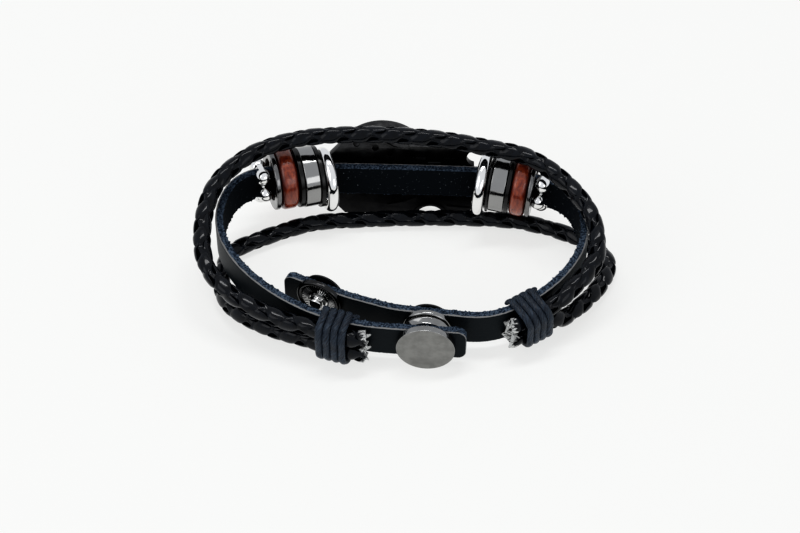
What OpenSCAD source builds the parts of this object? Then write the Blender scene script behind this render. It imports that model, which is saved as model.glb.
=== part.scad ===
/* [Leather band] */
// Height of the leather band
band_h = 6.4; // [5:0.1:8]
// Thickness of the leather
band_t = 1.4; // [1:0.1:2]
// Radius of the corners of the two cut ends
end_r = 1.6; // [0.5:0.1:2.5]
// Lean of the plane that the band lies in, raised at the back
lean = 6.8; // [0:0.1:7.5]

/* [Snap fastener] */
// Diameter of the plain cap
cap_d = 10; // [8:0.1:11]
// Thickness of the cap
cap_t = 1.3; // [0.8:0.1:1.6]
// Diameter of the socket's flange
socket_d = 8.3; // [7:0.1:9]
// Diameter of the stud's plate
stud_d = 8.4; // [7:0.1:9.4]
// Height of a whole stud above the leather
stud_h = 2.2; // [1.8:0.1:2.4]
// Diameter of the rivet washer behind a stud
rivet_d = 7.4; // [6:0.1:8.4]

/* [Beads] */
// Diameter of the wooden ring beads
wood_d = 11.4; // [9:0.1:12.4]
// Width of the wooden ring beads
wood_w = 3.2; // [2.4:0.1:4]
// Diameter of the polished band beads
tube_d = 11; // [9:0.1:12]
// Width of the polished band beads
tube_w = 2.7; // [2:0.1:3.5]
// Outer diameter of the round chrome rings
ring_d = 11.8; // [11:0.1:12.8]
// Thickness of the wire of the chrome rings
ring_w = 2.1; // [1.6:0.1:2.6]
// Diameter of the round hole through the ring beads
bore_d = 7.7; // [7.4:0.1:8]
// Radius of the balls of the slider beads
lobe_r = 1.5; // [1.2:0.1:1.7]

/* [Braided cords] */
// Thickness of a braided cord
braid_d = 3.1; // [2.6:0.1:3.6]
// Length of one leaf of the braid, along the cord
leaf = 5.4; // [4:0.1:7]
// Depth of the relief between the leaves
leaf_depth = 0.3; // [0.05:0.01:0.4]

/* [Cord wraps] */
// Thickness of the waxed cord round band and braids
wrap_d = 1.3; // [1:0.05:1.4]
// Turns in each wrap
wrap_turns = 4; // [3:1:4]

/* [Ornament] */
// Diameter of the round medallion
medal_d = 16.4; // [14:0.1:17]
// Thickness of the pierced back plate
plate_t = 1.4; // [1:0.1:1.6]

/* [Hidden] */
$fn = 72;

// Small play between pieces that sit on each other
play = 0.05;
half_t = band_t / 2;

// Where the band's plane starts: under the snap, at half the band's height
BAND_AT = [-1.25, -22.1, 5.05];
// First end of the band in that plane: x, y and the way it points
RUN_START = [11.2, 1.05, 175.5];
// The band seen from above, from the snapped end round to the free tail:
// length of each stretch, and how far it turns to the right
RUN = [
    [11, 0],      // front, flat behind the cap
    [5, 3.5],
    [13.5, 23.5], // through the left wrap
    [11.2, 17],
    [8.8, 19],
    [13.2, 47.5],
    [6, 46.5],    // left back corner
    [10.4, 19.5], // through the left beads
    [30.9, 2],    // back, in front of the ornament
    [12.5, 21.5], // through the right beads
    [6.2, 46],    // right back corner
    [13.8, 46],
    [11.1, 24.5],
    [5.8, 10],    // through the right wrap
    [7.9, 36.5],
    [10.2, 0],    // flat at the snap's stud
    [4.5, 12],    // free tail inside the loop
    [4.6, 0],
    [3.2, 6],
    [10, 0]       // flat at the spare stud
];
BAND_LENGTH = run_length(len(RUN));

// Places along the band, measured from its snapped end
CAP_S = 6.8;
STUD_S = 173.75;
SPARE_S = 192.9;
// The two studs: place on the band, and height above its middle
STUDS = [[STUD_S, 0], [SPARE_S, 0.8]];
// Left and right stack of beads: place of the chrome ring, the way that its flat
// faces point (a little askew on the band), the same for the slider at the end
STACKS = [[81.3, 16.5, 23], [109.9, -12.5, -26]];
STACK_S = 0;
STACK_WAY = 1;
STACK_END_WAY = 2;
stack_tilt = 3;
// Turn of the first ball of the left and right slider from the long side of its slot
LOBES_FROM = [69, 64];
// How far the beads hang out from the middle of the band, and the play between them
bead_out = 0.35;
bead_play = 0.12;
// Left and right wrap: place on the band, and height of the lower braid there
WRAPS = [[21.8, -1.55], [156.5, -1.8]];
WRAP_S = 0;
WRAP_LOW = 1;

// Widths of the pieces in the left and right stack, from the chrome ring outwards
lobed_w = 3;
STACK = [
    [ring_w, 0.7, tube_w, 0.8, wood_w, 0.9, lobed_w],
    [ring_w, 0.4, tube_w, 0.7, wood_w - 0.3, 0.8, lobed_w]
];

// Braids lie outside the band, one on the other, at the wraps
braid_r = braid_d / 2;
braid_out = half_t + 0.12 + braid_r;
braid_rise = braid_d + 0.06;
// Cut ends of the braids along the band, left and right of the snap
BRAID_ENDS = [16.7, 160.7];
// Routes of the braids between the wraps, chosen by hand
UPPER = [
    [-22.5, -16.7, 7.2], [-29.5, -13, 8.5], [-34.5, -7.2, 10.5], [-35.5, 0.8, 13],
    [-33.5, 8.6, 15.5], [-27.8, 14.4, 17.4], [-20, 17.4, 18.5], [-11.5, 18.3, 18.9],
    [-3, 18.4, 18.8], [5.5, 17.6, 18.5], [13.5, 16.1, 17.9], [21.5, 13.8, 17.3],
    [27.9, 8.8, 15.6], [32.2, 2, 13.4], [32.5, -5.7, 11], [28, -11.7, 9]
];
LOWER = [
    [-23, -15.2, 3], [-28.3, -11.2, 2.5], [-31.5, -6.7, 2], [-32.8, -0.2, 1.6],
    [-31.5, 5.8, 1.6], [-27.5, 9.3, 1.6], [-17.5, 14.2, 1.6], [-7.5, 15.4, 1.6],
    [2.5, 15.8, 1.6], [12.5, 15.7, 1.6], [21.5, 14.5, 1.6], [30, 10.7, 1.6],
    [34.8, 5.8, 1.6], [35.4, 1.3, 1.6], [32.5, -5.2, 2], [27.2, -11.7, 2.5]
];

// Ornament: plane of its back, and its middle
ORN_Y = 19.3;
ORN_X = -4.45;
ORN_Z = 9.75;
// Lowest edge, just clear of the surface it stands on
ORN_FOOT = 0.05;
// How far its pegs reach towards the leather, and the depth of their holes there
peg_reach = 2.4;
// Cast lines on the side that faces the leather: points as [x, height], like the outline's
CAST_LINES = [
    [[-0.6, 16.4], [0.6, 16.2], [2.1, 15.3], [4.8, 14.8], [5.5, 12.9]],
    [[1, 2], [3.6, 2.7], [6.1, 3.7]],
    [[11.8, 1.6], [15.9, 1.1]]
];
line_w = 0.35;
line_t = 0.2;
// Height above which the plate's upper edge slopes away, and its angle
slope_from = 15.1;
slope = 22;
// Arch in the plate's foot: its middle along the plate, its radius and its top
arch = [8.7, 2.6, 1.55];

// Length of the first n stretches of the run
function run_length(n, i = 0) = i >= n ? 0 : RUN[i][0] + run_length(n, i + 1);

// From place p = [x, y, heading], a stretch of that length and turn further on
function step(p, len, turn) =
    turn == 0 ? [p[0] + len * cos(p[2]), p[1] + len * sin(p[2]), p[2]] :
    let (r = len / (turn * PI / 180), h = p[2] - turn)
    [p[0] + r * (sin(p[2]) - sin(h)), p[1] - r * (cos(p[2]) - cos(h)), h];

// Place on the band at length s from its snapped end
function at(s, i = 0, p = RUN_START) =
    i >= len(RUN) ? p :
    s <= RUN[i][0] ? step(p, s, RUN[i][1] * s / RUN[i][0]) :
    at(s - RUN[i][0], i + 1, step(p, RUN[i][0], RUN[i][1]));

// Point that lies out from the place p, square to the band
function side_of(p, out) = [p[0] - out * sin(p[2]), p[1] + out * cos(p[2])];

// Point beside the band, out from its middle and up, in the bracelet's frame
function beside(s, out, up) =
    let (q = side_of(at(s), out))
    BAND_AT + [q[0], q[1] * cos(lean) - up * sin(lean), q[1] * sin(lean) + up * cos(lean)];

// Puts its children in the band's plane
module in_plane() {
    translate(BAND_AT) rotate([lean, 0, 0]) children();
}

// On the band at s: +X along the band, +Y outwards, +Z up
module on_band(s) {
    p = at(s);
    in_plane() translate([p[0], p[1], 0]) rotate(p[2]) children();
}

// On the band at s, up from its middle, with +Z pointing out of the loop
module facing(s, up = 0) {
    on_band(s) translate([0, 0, up]) rotate([-90, 0, 0]) children();
}

// Where the leather is bent from one short flat to the next: every 3 degrees
FLATS = concat(
    [for (i = [0:len(RUN) - 1])
        let (n = max(1, ceil(abs(RUN[i][1]) / 3)))
        for (k = [0:n - 1]) run_length(i) + RUN[i][0] * k / n],
    [BAND_LENGTH]
);

// The band seen from above
module band_outline() {
    last = len(FLATS) - 1;
    polygon(concat(
        [for (i = [0:last]) let (p = at(FLATS[i])) side_of(p, half_t)],
        [for (i = [last:-1:0]) let (p = at(FLATS[i])) side_of(p, -half_t)]
    ));
}

// Cuts the two square corners off an end at s round; way is +1 or -1 along the band
module round_end(s, way) {
    for (up = [-1, 1])
        on_band(s) scale([way, 1, up])
            translate([end_r, 0, 0]) difference() {
                translate([-end_r - 1, -2, band_h / 2 - end_r])
                    cube([end_r + 1, 4, end_r + 1]);
                translate([0, 0, band_h / 2 - end_r]) rotate([90, 0, 0])
                    cylinder(r = end_r, h = 6, center = true);
            }
}

module strap() {
    color("#1c2634") difference() {
        in_plane() translate([0, 0, -band_h / 2]) linear_extrude(band_h) band_outline();
        round_end(0, 1);
        round_end(BAND_LENGTH, -1);
        facing(CAP_S) cylinder(r = socket_neck_r + play, h = 4, center = true);
        for (s = STUDS)
            facing(s[0], s[1]) cylinder(r = rivet_post_r + 0.1, h = 4, center = true);
        pegs(1, peg_reach + 0.1);
    }
}

// Snap: the cap's post ends inside the socket's neck, which passes through the leather
socket_neck_r = 2.05;
socket_bore_r = 1.7;
post_r = 0.8;
rivet_post_r = 0.8;
collar_r = 1.45;
head_r = 1.25;

module snap_cap() {
    base = half_t + play;
    r = cap_d / 2;
    color("#77777a") facing(CAP_S) {
        rotate_extrude() polygon([
            [0, base], [r - 0.3, base], [r, base + 0.3], [r, base + cap_t - 0.1],
            [r - 0.1, base + cap_t], [0, base + cap_t]
        ]);
        translate([0, 0, 0.2]) cylinder(r = post_r, h = base);
    }
}

module snap_socket() {
    top = -half_t - play;
    color("#5d5d60") facing(CAP_S) rotate_extrude() polygon([
        [socket_bore_r, top - 1.15], [socket_d / 2 - 0.15, top - 1.15],
        [socket_d / 2, top - 1], [socket_d / 2, top - 0.8], [socket_d / 2 - 0.5, top - 0.2],
        [socket_d / 2 - 0.5, top],
        [socket_neck_r, top], [socket_neck_r, half_t - play],
        [socket_bore_r, half_t - play]
    ]);
}

// Stud with a raised rim and a stepped knob, hollow behind for the rivet
module stud(k) {
    base = half_t + play;
    r = stud_d / 2;
    tip = half_t + stud_h;
    facing(STUDS[k][0], STUDS[k][1]) rotate_extrude() polygon([
        [rivet_post_r + 0.1, base], [r, base], [r, base + 0.7],
        [r - 0.2, base + 0.85], [r - 0.6, base + 0.85], [r - 0.8, base + 0.6],
        [collar_r, base + 0.6], [collar_r, tip - 0.9], [head_r - 0.25, tip - 0.75],
        [head_r, tip - 0.5], [head_r, tip - 0.3], [head_r - 0.3, tip],
        [0, tip], [0, tip - 0.6], [rivet_post_r + 0.1, tip - 0.6]
    ]);
}

// Washer on the inside of the leather, with a post up into the stud
module rivet(k) {
    top = -half_t - play;
    r = rivet_d / 2;
    facing(STUDS[k][0], STUDS[k][1]) rotate_extrude() polygon([
        [0, top - 0.75], [r - 1.2, top - 0.65], [r - 0.3, top - 0.35], [r, top - 0.15], [r, top],
        [rivet_post_r, top], [rivet_post_r, half_t + stud_h - 0.8],
        [0, half_t + stud_h - 0.8]
    ]);
}

module snap_stud() { color("#6b6b6e") stud(0); }
module snap_rivet() { color("#4a4a4d") rivet(0); }
module spare_stud() { color("#4f4f52") stud(1); }
module spare_rivet() { color("#4a4a4d") rivet(1); }

// Distance along the band from the chrome ring's middle to the k-th piece's middle
function stack_at(k, side) =
    k == 0 ? 0 :
    stack_at(k - 1, side) + (STACK[side][k - 1] + STACK[side][k]) / 2 + bead_play;

// The k-th piece of the stack on the left (side 0) or right (side 1), +Z along it.
// It hangs out from the band by out, is moved along it, and points in the way of
// the stack or of its end.
module bead(k, side, out = bead_out, along = 0, way = STACK_WAY) {
    dir = side == 0 ? -1 : 1;
    p = at(STACKS[side][STACK_S] + dir * (stack_at(k, side) + along));
    c = side_of(p, out);
    in_plane() translate([c[0], c[1], 0]) rotate(STACKS[side][way])
        rotate([0, 90 + stack_tilt, 0]) scale([1, 1, dir]) children();
}

// Ring of width w and diameter d, edges rounded or cut back by e
module flat_ring(d, w, e) {
    rotate_extrude() polygon([
        [bore_d / 2, -w / 2], [d / 2 - e, -w / 2], [d / 2, -w / 2 + e],
        [d / 2, w / 2 - e], [d / 2 - e, w / 2], [bore_d / 2, w / 2]
    ]);
}

// Chrome ring: round outside, flat on the leather side
module chrome_ring(side) {
    color("#dcdcde") bead(0, side, -0.35, -0.26) rotate_extrude() difference() {
        translate([ring_d / 2 - ring_w / 2, 0]) circle(d = ring_w);
        translate([0, -ring_w]) square([bore_d / 2, 2 * ring_w]);
    }
}

module spacer(side) {
    color("#161616") bead(1, side) flat_ring(tube_d + 0.2, STACK[side][1], 0.15);
}

module band_bead(side) {
    color("#c9cacc") bead(2, side) flat_ring(tube_d, tube_w, 0.2);
}

module black_ring(side) {
    color("#161616") bead(3, side) flat_ring(tube_d + 0.2, STACK[side][3], 0.15);
}

module wood_bead(side) {
    e = 0.9;
    r = wood_d / 2;
    w = STACK[side][4];
    color("#7e2d1d") bead(4, side) rotate_extrude() difference() {
        translate([bore_d / 2, -w / 2]) square([r - bore_d / 2, w]);
        for (up = [-1, 1]) translate([r - e, up * (w / 2 - e)]) difference() {
            translate([0, up > 0 ? 0 : -e - 1]) square([e + 1, e + 1]);
            circle(r = e);
        }
    }
}

module washer(side) {
    color("#cfcfd1") bead(5, side) flat_ring(wood_d - 0.2, STACK[side][5], 0.25);
}

// Slider: a flat sleeve round the leather, with a ring of five balls round it
module lobed_bead(side) {
    lobes = 5;
    lobe_up = 3;
    lobe_out = 2.4;
    unturned = side == 0 ? -1 : 1;
    sleeve_wall = 0.45;
    sleeve_w = 1;
    slot = [band_h + 0.3, band_t + 0.9, 2 * lobed_w];
    first = side == 0 ? LOBES_FROM[0] : LOBES_FROM[1];
    color("#d5d6d8") bead(6, side, 0.15, 0.12, STACK_END_WAY) scale([1, 1, unturned]) difference() {
        union() {
            intersection() {
                cube([slot[0] + 2 * sleeve_wall, slot[1] + 2 * sleeve_wall, sleeve_w], center = true);
                cylinder(r = slot[0] / 2 + sleeve_wall, h = sleeve_w, center = true);
            }
            for (i = [0:lobes - 1])
                let(a = first + i * 360 / lobes)
                    translate([lobe_up * cos(a), lobe_out * sin(a), 0]) sphere(r = lobe_r);
        }
        cube(slot, center = true);
    }
}

// Point on a smooth curve through P, t of the way from point i to the next
function curve(P, i, t) =
    let (b = P[i], c = P[i + 1],
         a = i > 0 ? P[i - 1] : 2 * b - c,
         d = i + 2 < len(P) ? P[i + 2] : 2 * c - b)
    0.5 * (2 * b + (c - a) * t + (2 * a - 5 * b + 4 * c - d) * t * t
        + (3 * b - a - 3 * c + d) * t * t * t);

// The whole route of a braid: out of the left wrap, round the back, into the right one
function route(mid, level) = concat(
    [for (s = [BRAID_ENDS[0], 19, 22.5, 26])
        beside(s, braid_out, WRAPS[0][WRAP_LOW] + level * braid_rise)],
    mid,
    [for (s = [153.6, 156.6, 159.6, BRAID_ENDS[1]])
        beside(s, braid_out, WRAPS[1][WRAP_LOW] + level * braid_rise)]
);

function sums(v, i = 0, t = 0) =
    i >= len(v) ? [t] : concat([t], sums(v, i + 1, t + v[i]));

// Round cord along a route, with the leaves of a four-strand braid as low relief
module braid(P) {
    fine = 12;
    dense = concat([for (i = [0:len(P) - 2]) for (k = [0:fine - 1]) curve(P, i, k / fine)],
        [P[len(P) - 1]]);
    far = sums([for (i = [0:len(dense) - 2]) norm(dense[i + 1] - dense[i])]);
    xs = [for (i = [0:len(far) - 1]) [far[i], dense[i][0]]];
    ys = [for (i = [0:len(far) - 1]) [far[i], dense[i][1]]];
    zs = [for (i = [0:len(far) - 1]) [far[i], dense[i][2]]];
    length = far[len(far) - 1];
    rings = round(length / (leaf / 4));
    sides = 12;
    spine = [for (i = [0:rings])
        let (s = length * i / rings) [lookup(s, xs), lookup(s, ys), lookup(s, zs)]];
    points = [for (i = [0:rings])
        let (along = spine[min(i + 1, rings)] - spine[max(i - 1, 0)],
             out = cross(along, [0, 0, 1]) / norm(cross(along, [0, 0, 1])),
             up = cross(out, along) / norm(along))
        for (k = [0:sides - 1])
            let (a = 360 * k / sides,
                 r = braid_r - leaf_depth * (1 - cos(2 * a) * cos(90 * i)) / 2)
            spine[i] + r * (cos(a) * out + sin(a) * up)];
    faces = concat(
        [[for (k = [0:sides - 1]) k]],
        [for (i = [0:rings - 1]) for (k = [0:sides - 1])
            let (a = i * sides + k, b = i * sides + (k + 1) % sides)
            [a, a + sides, b + sides, b]],
        [[for (k = [sides - 1:-1:0]) rings * sides + k]]
    );
    polyhedron(points, faces, convexity = 10);
}

module braid_upper() { color("#141922") braid(route(UPPER, 1)); }
module braid_lower() { color("#141922") braid(route(LOWER, 0)); }

// Reach of band and braids in the direction a round the wrap, and where it is taken:
// [out, up, radius] of the outer thing that the cord lies on
function held(side) = [
    [braid_out, WRAPS[side][WRAP_LOW], braid_r],
    [braid_out, WRAPS[side][WRAP_LOW] + braid_rise, braid_r],
    [-half_t, band_h / 2, 0.12], [-half_t, -band_h / 2, 0.12],
    [half_t, band_h / 2, 0], [half_t, -band_h / 2, 0]
];
function reach(h, a) = h[0] * cos(a) + h[1] * sin(a) + h[2];
function lies_on(H, a, i = 0, best = 0) =
    i >= len(H) ? H[best] :
    lies_on(H, a, i + 1, reach(H[i], a) > reach(H[best], a) ? i : best);

// Four turns of waxed cord side by side round the band and both braids
module wrap(side) {
    H = held(side);
    turn_steps = 24;
    sides = 8;
    pitch = wrap_d + 0.06;
    cord_r = wrap_d / 2;
    flat_r = cord_r * 0.66;
    lift = flat_r + 0.11;
    rings = wrap_turns * turn_steps;
    start = -wrap_turns * pitch / 2;
    points = [for (i = [0:rings])
        let (a = 180 + 360 * i / turn_steps, h = lies_on(H, a),
             x = start + pitch * i / turn_steps,
             out = h[0] + (h[2] + lift) * cos(a), up = h[1] + (h[2] + lift) * sin(a))
        for (k = [0:sides - 1])
            let (b = 360 * k / sides, q = flat_r * cos(b))
            [x + cord_r * sin(b), out + q * cos(a), up + q * sin(a)]];
    faces = concat(
        [[for (k = [sides - 1:-1:0]) k]],
        [for (i = [0:rings - 1]) for (k = [0:sides - 1])
            let (a = i * sides + k, b = i * sides + (k + 1) % sides)
            [a, b, b + sides, a + sides]],
        [[for (k = [0:sides - 1]) rings * sides + k]]
    );
    color("#1d2430") on_band(WRAPS[side][WRAP_S]) polyhedron(points, faces, convexity = 10);
}

// Outline of the ornament's back plate, seen from behind: x from its middle, height
module plate_outline() {
    left = -9.4;
    right = 16.6;
    top = 16.8 - ORN_FOOT;
    difference() {
        translate([0, ORN_FOOT]) polygon([
            [left, 3.2], [left + 2.5, 0], [right - 1, 0], [right, 1], [right, 13.6],
            [right - 1.2, 15.2], [5, 15.4], [4, top], [left + 2.9, top], [left, 13.3]
        ]);
        // arch over the surface, and the notch in the right end
        translate([arch[0], arch[2] - arch[1]]) circle(r = arch[1]);
        translate([17.1, 12.75]) circle(r = 1.9);
        // three small round holes along the top
        for (h = [[-4.6, 15.9], [-1.2, 15.1], [1.4, 13.8]]) translate(h) circle(r = 0.6);
        // three slots
        for (s = [[5.7, 12.1, 2.1, 0.95], [8.25, 11.2, 2.3, 0.7], [11, 12.25, 2.1, 0.5]])
            translate([s[0], s[1]]) square([s[2], s[3]]);
    }
}

// The cast lines, with one round the arch
module cast_lines() {
    for (line = CAST_LINES) for (i = [0:len(line) - 2]) {
        run = line[i + 1] - line[i];
        over = 0.3 * line_w;
        translate(line[i]) rotate(atan2(run[1], run[0])) translate([-over, -line_w / 2])
            square([norm(run) + 2 * over, line_w]);
    }
    intersection() {
        translate([arch[0], arch[2] - arch[1]]) difference() {
            circle(r = arch[1] + 0.45 + line_w);
            circle(r = arch[1] + 0.45);
        }
        translate([arch[0] - 4, 0.6]) square([8, 3]);
    }
}

// Pegs from the plate into the leather, of that radius and reach
module pegs(r, reach) {
    for (x = [-4, 5])
        translate([ORN_X + x, ORN_Y + 0.5, ORN_Z]) rotate([90, 0, 0])
            cylinder(r = r, h = 0.5 + reach);
}

// Cast ornament outside the back of the band: pierced plate, dished medallion, two pegs
module ornament() {
    r = medal_d / 2;
    neck = 6.6;
    flare = 1.8;
    rim = 1.2;
    dish = 0.5;
    color("#3a3a3c") union() {
        difference() {
            translate([ORN_X, ORN_Y + plate_t, 0]) rotate([90, 0, 0])
                linear_extrude(plate_t) plate_outline();
            translate([ORN_X, ORN_Y, slope_from]) rotate([-slope, 0, 0])
                translate([-12, -3, 0]) cube([16.8, 3, 4]);
        }
        translate([ORN_X, ORN_Y + 0.1, 0]) rotate([90, 0, 0])
            linear_extrude(line_t + 0.1) cast_lines();
        translate([ORN_X, ORN_Y + plate_t, ORN_Z + 0.2]) rotate([-90, 0, 0])
            rotate_extrude() polygon([
                [0, -0.6], [neck, -0.6], [neck, 0], [r, flare], [r, flare + rim - 0.2],
                [r - 0.2, flare + rim], [r - 0.9, flare + rim], [r - 1.1, flare + dish],
                [6, flare + dish + 0.1], [4, flare + dish + 0.5], [2, flare + dish + 0.7],
                [0, flare + dish + 0.75]
            ]);
        pegs(0.9, peg_reach);
    }
}

strap();
snap_cap();
snap_socket();
snap_stud();
snap_rivet();
spare_stud();
spare_rivet();
ornament();
braid_upper();
braid_lower();
wrap(0);  // wrap_left
wrap(1);  // wrap_right
lobed_bead(0);  // lobed_bead_left
washer(0);  // washer_left
wood_bead(0);  // wood_bead_left
black_ring(0);  // black_ring_left
band_bead(0);  // band_bead_left
spacer(0);  // spacer_left
chrome_ring(0);  // chrome_ring_left
lobed_bead(1);  // lobed_bead_right
washer(1);  // washer_right
wood_bead(1);  // wood_bead_right
black_ring(1);  // black_ring_right
band_bead(1);  // band_bead_right
spacer(1);  // spacer_right
chrome_ring(1);  // chrome_ring_right
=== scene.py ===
import math

import bmesh
import bpy
from mathutils import Matrix, Vector, noise


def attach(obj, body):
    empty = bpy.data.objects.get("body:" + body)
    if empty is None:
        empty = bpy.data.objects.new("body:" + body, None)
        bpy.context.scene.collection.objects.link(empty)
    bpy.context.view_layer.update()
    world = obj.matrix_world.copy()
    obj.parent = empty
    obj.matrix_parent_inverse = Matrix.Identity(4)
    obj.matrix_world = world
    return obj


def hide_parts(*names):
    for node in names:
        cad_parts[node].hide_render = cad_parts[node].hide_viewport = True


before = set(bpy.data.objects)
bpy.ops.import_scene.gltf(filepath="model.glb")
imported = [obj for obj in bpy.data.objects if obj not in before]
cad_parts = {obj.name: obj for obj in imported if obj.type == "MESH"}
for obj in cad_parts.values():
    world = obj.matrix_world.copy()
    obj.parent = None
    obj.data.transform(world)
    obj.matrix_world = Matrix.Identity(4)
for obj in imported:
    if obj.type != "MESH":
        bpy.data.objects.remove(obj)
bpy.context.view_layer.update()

# The view. The bracelet stands on a pale table in a studio, and the camera looks
# at it from the front and above. Pieces are built in millimetres and made metres
# when they are finished.
MM = 0.001
VIEW_MIDDLE = Vector((-1.25, 4.3, 0.0))
VIEW_DISTANCE = 397.4
VIEW_HEIGHT_ANGLE = math.radians(41.5)

camera = bpy.data.objects.new("camera", bpy.data.cameras.new("camera"))
camera.data.lens = 100
camera.data.sensor_width = 36
camera.data.clip_start = 0.01
towards_viewer = Vector((0, -math.cos(VIEW_HEIGHT_ANGLE), math.sin(VIEW_HEIGHT_ANGLE)))
camera.location = (VIEW_MIDDLE + VIEW_DISTANCE * towards_viewer) * MM
camera.rotation_euler = towards_viewer.to_track_quat("Z", "Y").to_euler()
bpy.context.scene.collection.objects.link(camera)
bpy.context.scene.camera = camera
bpy.context.scene.view_settings.view_transform = "Standard"
bpy.context.scene.view_settings.look = "High Contrast"


def put(tree, kind, settings=None, **sockets):
    """Adds a shader node. A socket, named as in the editor with _ for a space, takes
    a value or another node's output."""
    made = tree.nodes.new("ShaderNode" + kind)
    for name, value in (settings or {}).items():
        setattr(made, name, value)
    for name, value in sockets.items():
        feed(tree, made.inputs[name.replace("_", " ")], value)
    return made


def feed(tree, socket, value):
    """Gives a socket a value, or links another node's output to it."""
    if isinstance(value, bpy.types.NodeSocket):
        tree.links.new(value, socket)
    else:
        socket.default_value = value


def calc(tree, operation, first, second=0.0):
    """One step of arithmetic."""
    made = put(tree, "Math", {"operation": operation})
    feed(tree, made.inputs[0], first)
    feed(tree, made.inputs[1], second)
    return made.outputs[0]


def ease(tree, value, start, end, low=0.0, high=1.0):
    """Goes smoothly from low to high while the value goes from start to end."""
    made = put(tree, "MapRange", {"interpolation_type": "SMOOTHSTEP"}, From_Min=start, From_Max=end,
               To_Min=low, To_Max=high)
    feed(tree, made.inputs["Value"], value)
    return made.outputs["Result"]


def blend_colours(tree, share, first, second):
    """Goes from the first colour to the second while share goes from 0 to 1."""
    made = put(tree, "Mix", {"data_type": "RGBA"})
    for index, value in ((0, share), (6, first), (7, second)):
        feed(tree, made.inputs[index], value)
    return made.outputs[2]


def new_material(name, **sockets):
    """A material with one Principled BSDF: returns it, its node tree and that node."""
    made = bpy.data.materials.new(name)
    made.use_nodes = True
    shader = made.node_tree.nodes["Principled BSDF"]
    for socket, value in sockets.items():
        feed(made.node_tree, shader.inputs[socket.replace("_", " ")], value)
    return made, made.node_tree, shader


# Table: matt and pale, big enough to fill the view. It glows a little, so that it
# comes out nearly white and the shadows on it stay light.
TABLE_SIZE = 4.0
TABLE_COLOUR = (0.3, 0.303, 0.3, 1)
TABLE_GLOW_COLOUR = (1, 1, 0.99, 1)
TABLE_GLOW = 0.515
bm = bmesh.new()
bmesh.ops.create_grid(bm, x_segments=1, y_segments=1, size=TABLE_SIZE / 2)
table_mesh = bpy.data.meshes.new("table")
bm.to_mesh(table_mesh)
bm.free()
pale_table = new_material("pale_table", Base_Color=TABLE_COLOUR, Roughness=0.9, Specular_IOR_Level=0.0,
                          Emission_Color=TABLE_GLOW_COLOUR, Emission_Strength=TABLE_GLOW)[0]
table_mesh.materials.append(pale_table)
table = bpy.data.objects.new("table", table_mesh)
bpy.context.scene.collection.objects.link(table)

# Room: soft light from all round, and brighter to whatever mirrors it
ROOM_LIGHT = 0.22
ROOM_MIRRORED = 0.6

world = bpy.data.worlds.new("studio")
bpy.context.scene.world = world
world.use_nodes = True
room = world.node_tree
room_light = room.nodes["Background"]
room_light.inputs["Color"].default_value = (0.94, 0.96, 1.0, 1)
mirrored = put(room, "LightPath").outputs["Is Glossy Ray"]
feed(room, room_light.inputs["Strength"], ease(room, mirrored, 0.0, 1.0, ROOM_LIGHT, ROOM_MIRRORED))


def soft_box(name, place, width, height, watts):
    """A soft box that shines on the bracelet from that place, in metres."""
    lamp = bpy.data.lights.new(name, "AREA")
    lamp.shape = "RECTANGLE"
    lamp.size = width
    lamp.size_y = height
    lamp.energy = watts
    made = bpy.data.objects.new(name, lamp)
    made.location = place
    made.rotation_euler = Vector(place).to_track_quat("Z", "Y").to_euler()
    bpy.context.scene.collection.objects.link(made)


soft_box("light_above", (-0.03, 0.12, 0.9), 0.7, 0.12, 2.0)
soft_box("light_left", (-0.6, -0.4, 0.5), 0.5, 0.55, 0.8)
soft_box("light_right", (0.42, -0.6, 0.3), 0.45, 0.3, 0.4)


def finish_piece(bm, name, materials, nodes, crease=40):
    """Makes the built form an object in metres, smooth but for edges sharper than the
    crease, and puts it in the place of those CAD nodes."""
    bmesh.ops.scale(bm, verts=bm.verts, vec=(MM, MM, MM))
    for face in bm.faces:
        face.smooth = True
    for edge in bm.edges:
        edge.smooth = edge.is_manifold and edge.calc_face_angle(0.0) < math.radians(crease)
    mesh = bpy.data.meshes.new(name)
    bm.to_mesh(mesh)
    bm.free()
    for material in materials:
        mesh.materials.append(material)
    made = bpy.data.objects.new(name, mesh)
    bpy.context.scene.collection.objects.link(made)
    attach(made, "root")
    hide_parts(*nodes)


# Strap. A flat leather band, dyed blue-black right through, smooth on the grain side
# and rough suede on the flesh side and along the cut edges. It is cut flat, its two
# ends are rounded, and it is bent into the loop with the tail inside the front.
STRAP_HEIGHT = 6.4
STRAP_THICK = 1.4
STRAP_END_ROUND = 1.6
STRAP_LEAN = 6.8
STRAP_AT = Vector((-1.25, -22.1, 5.05))
STRAP_START = (11.2, 1.05, 175.5)
# Length of each stretch seen from above, and how far it turns to the right
STRAP_RUN = [
    (11, 0), (5, 3.5), (13.5, 23.5), (11.2, 17), (8.8, 19), (13.2, 47.5), (6, 46.5),
    (10.4, 19.5), (30.9, 2), (12.5, 21.5), (6.2, 46), (13.8, 46), (11.1, 24.5),
    (5.8, 10), (7.9, 36.5), (10.2, 0), (4.5, 12), (4.6, 0), (3.2, 6), (10, 0),
]
STRAP_LENGTH = sum(length for length, turn in STRAP_RUN)
STRAP_CUTS = 1300
STRAP_CORNER = 0.14
NAP_HEIGHT = 0.14
NAP_RAGGED = 0.42
NAP_EDGE_WIDE = 0.2
NAP_FLESH_DEEP = 0.35
TUFTS_PER_MM = 2.6
THREADS_PER_MM = 5.5

strap_plane = Matrix.Translation(STRAP_AT) @ Matrix.Rotation(math.radians(STRAP_LEAN), 4, "X")


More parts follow.
